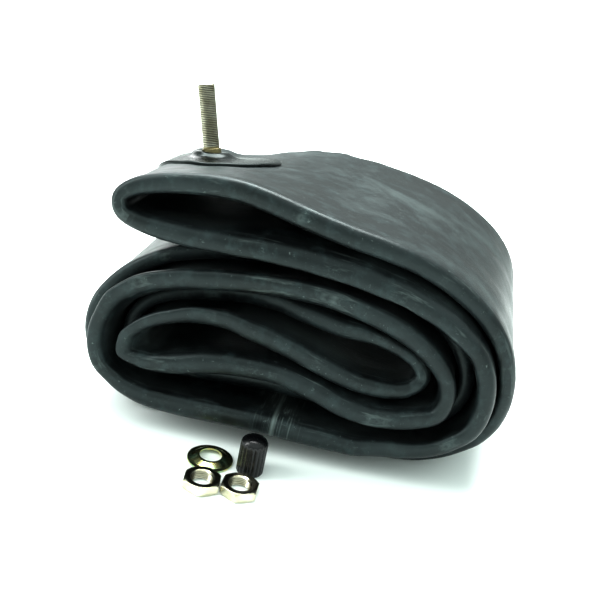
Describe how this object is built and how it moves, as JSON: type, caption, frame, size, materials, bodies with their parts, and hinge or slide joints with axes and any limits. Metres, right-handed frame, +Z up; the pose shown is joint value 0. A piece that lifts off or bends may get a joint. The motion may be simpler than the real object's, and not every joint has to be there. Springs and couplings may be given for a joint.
{
  "type": "inner tube",
  "caption": "Thick rubber motorcycle inner tube, let down, folded flat and rolled up, with a metal valve stem on a rubber pad and its loose rim nuts, dished washer and dust cap.",
  "frame": {"origin": "middle of the flat underside that the roll rests on, on the surface below it", "axes": "+Z up, -Y out of the end face where the folded edges show, +X to the right seen from in front of it"},
  "size_m": [0.1925, 0.1894, 0.1251],
  "materials": {
    "tube_rubber": "butyl rubber, satin with talc",
    "patch_rubber": "moulded rubber, glossy",
    "nickel_plate": "nickel-plated brass, turned",
    "brass": "turned",
    "spring_steel": "drawn wire",
    "seal_rubber": "moulded",
    "zinc_plate": "pressed steel, passivated zinc",
    "cap_plastic": "moulded, glossy"
  },
  "bodies": {
    "rolled_tube": {"tube": "tube_rubber", "valve_patch": "patch_rubber", "valve_stem": "nickel_plate"},
    "valve_core": {"core_barrel": "brass", "core_gasket": "seal_rubber", "core_spring": "spring_steel", "core_cup": "brass"},
    "core_plug": {"core_plug": "brass"},
    "core_pin": {"core_pin": "brass", "core_seat_seal": "seal_rubber"},
    "rim_nut_1": {"rim_nut_1": "nickel_plate"},
    "rim_nut_2": {"rim_nut_2": "nickel_plate"},
    "cup_washer": {"cup_washer": "zinc_plate"},
    "valve_cap": {"valve_cap": "cap_plastic"}
  },
  "joints": [
    {"name": "core_slide", "type": "slide", "parent": "rolled_tube", "child": "valve_core", "axis": [-0.2581, 0.1167, 0.959], "range_m": [0, 0.0042]},
    {"name": "plug_turn", "type": "hinge", "parent": "valve_core", "child": "core_plug", "pos_m": [-0.05575, -0.00499, 0.11867], "axis": [-0.2581, 0.1167, 0.959], "range_deg": [0, 2160]},
    {"name": "pin_press", "type": "slide", "parent": "valve_core", "child": "core_pin", "axis": [0.2581, -0.1167, -0.959], "range_m": [0, 0.0016], "stiffness_N_per_m": 800, "springref_m": -0.002},
    {"name": "nut_1_lift", "type": "slide", "parent": "rolled_tube", "child": "rim_nut_1", "axis": [0, 0, 1], "range_m": [0, 0.1]},
    {"name": "nut_2_lift", "type": "slide", "parent": "rolled_tube", "child": "rim_nut_2", "axis": [0, 0, 1], "range_m": [0, 0.1]},
    {"name": "washer_lift", "type": "slide", "parent": "rolled_tube", "child": "cup_washer", "axis": [0, 0, 1], "range_m": [0, 0.1]},
    {"name": "cap_lift", "type": "slide", "parent": "rolled_tube", "child": "valve_cap", "axis": [0, 0, 1], "range_m": [0, 0.1]}
  ],
  "couplings": [
    {"joint": "plug_turn", "follows": "core_slide", "rad_per_m": 8975.9}
  ]
}
